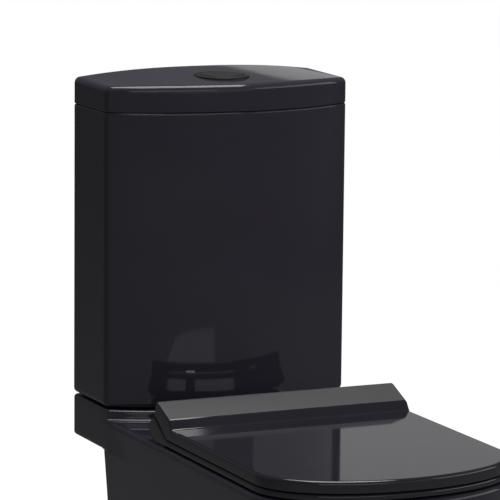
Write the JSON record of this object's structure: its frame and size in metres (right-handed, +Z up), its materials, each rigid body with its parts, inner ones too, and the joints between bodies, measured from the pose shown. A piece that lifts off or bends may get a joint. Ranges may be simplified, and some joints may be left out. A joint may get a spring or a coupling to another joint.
{
  "type": "close coupled toilet",
  "caption": "Gloss black close coupled toilet: skirted pan with box rim and raised ledge, bow-fronted cistern with dual push button, and a wrap-over seat and lid.",
  "frame": {"origin": "floor level, at the middle of the footprint's bounding box", "axes": "+X right seen from the front, +Y towards the wall, +Z up"},
  "size_m": [0.364, 0.715, 0.8583],
  "materials": {
    "glaze": "gloss black glaze over vitreous china",
    "seat_plastic": "polished black thermoset",
    "button_black": "satin black",
    "white_plastic": "moulded acetal",
    "blue_plastic": "moulded blue plastic",
    "grey_rubber": "dull black rubber",
    "clear_rubber": "soft translucent grey",
    "steel": "bright stainless",
    "brass": "plain brass"
  },
  "bodies": {
    "pan_and_cistern": {"pan": "glaze", "pan_bowl": "glaze", "pan_trapway": "glaze", "cistern": "glaze", "flush_valve_base": "white_plastic", "flush_valve_tower": "white_plastic", "flush_valve_washer": "grey_rubber", "flush_valve_backnut": "white_plastic", "close_coupling_seal": "grey_rubber", "coupling_bolt_left": "brass", "coupling_rubber_washer_left": "grey_rubber", "coupling_steel_washer_left": "steel", "coupling_wing_nut_left": "brass", "coupling_bolt_right": "brass", "coupling_rubber_washer_right": "grey_rubber", "coupling_steel_washer_right": "steel", "coupling_wing_nut_right": "brass", "fill_valve_body": "white_plastic", "fill_valve_washer": "grey_rubber", "fill_valve_backnut": "brass", "fill_valve_cap": "blue_plastic", "hinge_post_left": "steel", "hinge_pin_left": "steel", "hinge_stud_left": "steel", "hinge_washer_left": "grey_rubber", "hinge_wing_nut_left": "white_plastic", "hinge_post_right": "steel", "hinge_pin_right": "steel", "hinge_stud_right": "steel", "hinge_washer_right": "grey_rubber", "hinge_wing_nut_right": "white_plastic", "floor_bracket_left": "steel", "pan_screw_left": "steel", "pan_screw_cap_left": "button_black", "floor_bracket_right": "steel", "pan_screw_right": "steel", "pan_screw_cap_right": "button_black"},
    "cistern_lid": {"cistern_lid": "glaze", "button_bezel": "button_black", "button_locknut": "white_plastic", "half_button_spring": "steel", "full_button_spring": "steel"},
    "full_button": {"full_flush_button": "button_black", "full_flush_rod": "white_plastic"},
    "half_button": {"half_flush_button": "button_black", "half_flush_rod": "white_plastic"},
    "plunger": {"flush_valve_plunger": "blue_plastic", "flush_valve_seal": "grey_rubber"},
    "full_rocker": {"full_flush_rocker": "blue_plastic"},
    "half_rocker": {"half_flush_rocker": "blue_plastic"},
    "float": {"fill_valve_float": "blue_plastic"},
    "fill_lever": {"fill_valve_lever": "white_plastic"},
    "seat_ring": {"seat_ring": "seat_plastic", "ring_buffer_1": "clear_rubber", "ring_buffer_2": "clear_rubber", "ring_buffer_3": "clear_rubber", "ring_buffer_4": "clear_rubber"},
    "seat_lid": {"seat_lid": "seat_plastic", "lid_buffer_1": "clear_rubber", "lid_buffer_2": "clear_rubber"}
  },
  "joints": [
    {"name": "cistern_lid_lift", "type": "slide", "parent": "pan_and_cistern", "child": "cistern_lid", "axis": [0, 0, 1], "range_m": [0, 0.2]},
    {"name": "full_flush_press", "type": "slide", "parent": "cistern_lid", "child": "full_button", "axis": [0, 0, -1], "range_m": [0, 0.008], "stiffness_N_per_m": 260, "springref_m": -0.006, "deforming": ["full_button_spring"]},
    {"name": "half_flush_press", "type": "slide", "parent": "cistern_lid", "child": "half_button", "axis": [0, 0, -1], "range_m": [0, 0.008], "stiffness_N_per_m": 200, "springref_m": -0.006, "deforming": ["half_button_spring"]},
    {"name": "plunger_lift", "type": "slide", "parent": "pan_and_cistern", "child": "plunger", "axis": [0, 0, 1], "range_m": [0, 0.02]},
    {"name": "full_rocker_turn", "type": "hinge", "parent": "pan_and_cistern", "child": "full_rocker", "pos_m": [0.012, 0.2595, 0.6604], "axis": [1, 0, 0], "range_deg": [0, 23]},
    {"name": "half_rocker_turn", "type": "hinge", "parent": "pan_and_cistern", "child": "half_rocker", "pos_m": [-0.012, 0.2595, 0.6604], "axis": [1, 0, 0], "range_deg": [0, 23]},
    {"name": "float_rise", "type": "slide", "parent": "pan_and_cistern", "child": "float", "axis": [0, 0, 1], "range_m": [0, 0.01]},
    {"name": "fill_lever_turn", "type": "hinge", "parent": "pan_and_cistern", "child": "fill_lever", "pos_m": [-0.132, 0.2755, 0.727], "axis": [-1, 0, 0], "range_deg": [0, 15]},
    {"name": "seat_ring_hinge", "type": "hinge", "parent": "pan_and_cistern", "child": "seat_ring", "pos_m": [0, 0.0735, 0.424], "axis": [-1, 0, 0], "range_deg": [0, 97]},
    {"name": "seat_lid_hinge", "type": "hinge", "parent": "seat_ring", "child": "seat_lid", "pos_m": [0, 0.0735, 0.424], "axis": [1, 0, 0], "range_deg": [-103, 0]}
  ],
  "couplings": [
    {"joint": "plunger_lift", "follows": "full_flush_press", "ratio": 2.5},
    {"joint": "full_rocker_turn", "follows": "full_flush_press", "rad_per_m": 50},
    {"joint": "half_rocker_turn", "follows": "half_flush_press", "rad_per_m": 50},
    {"joint": "fill_lever_turn", "follows": "float_rise", "rad_per_m": 25.3}
  ]
}
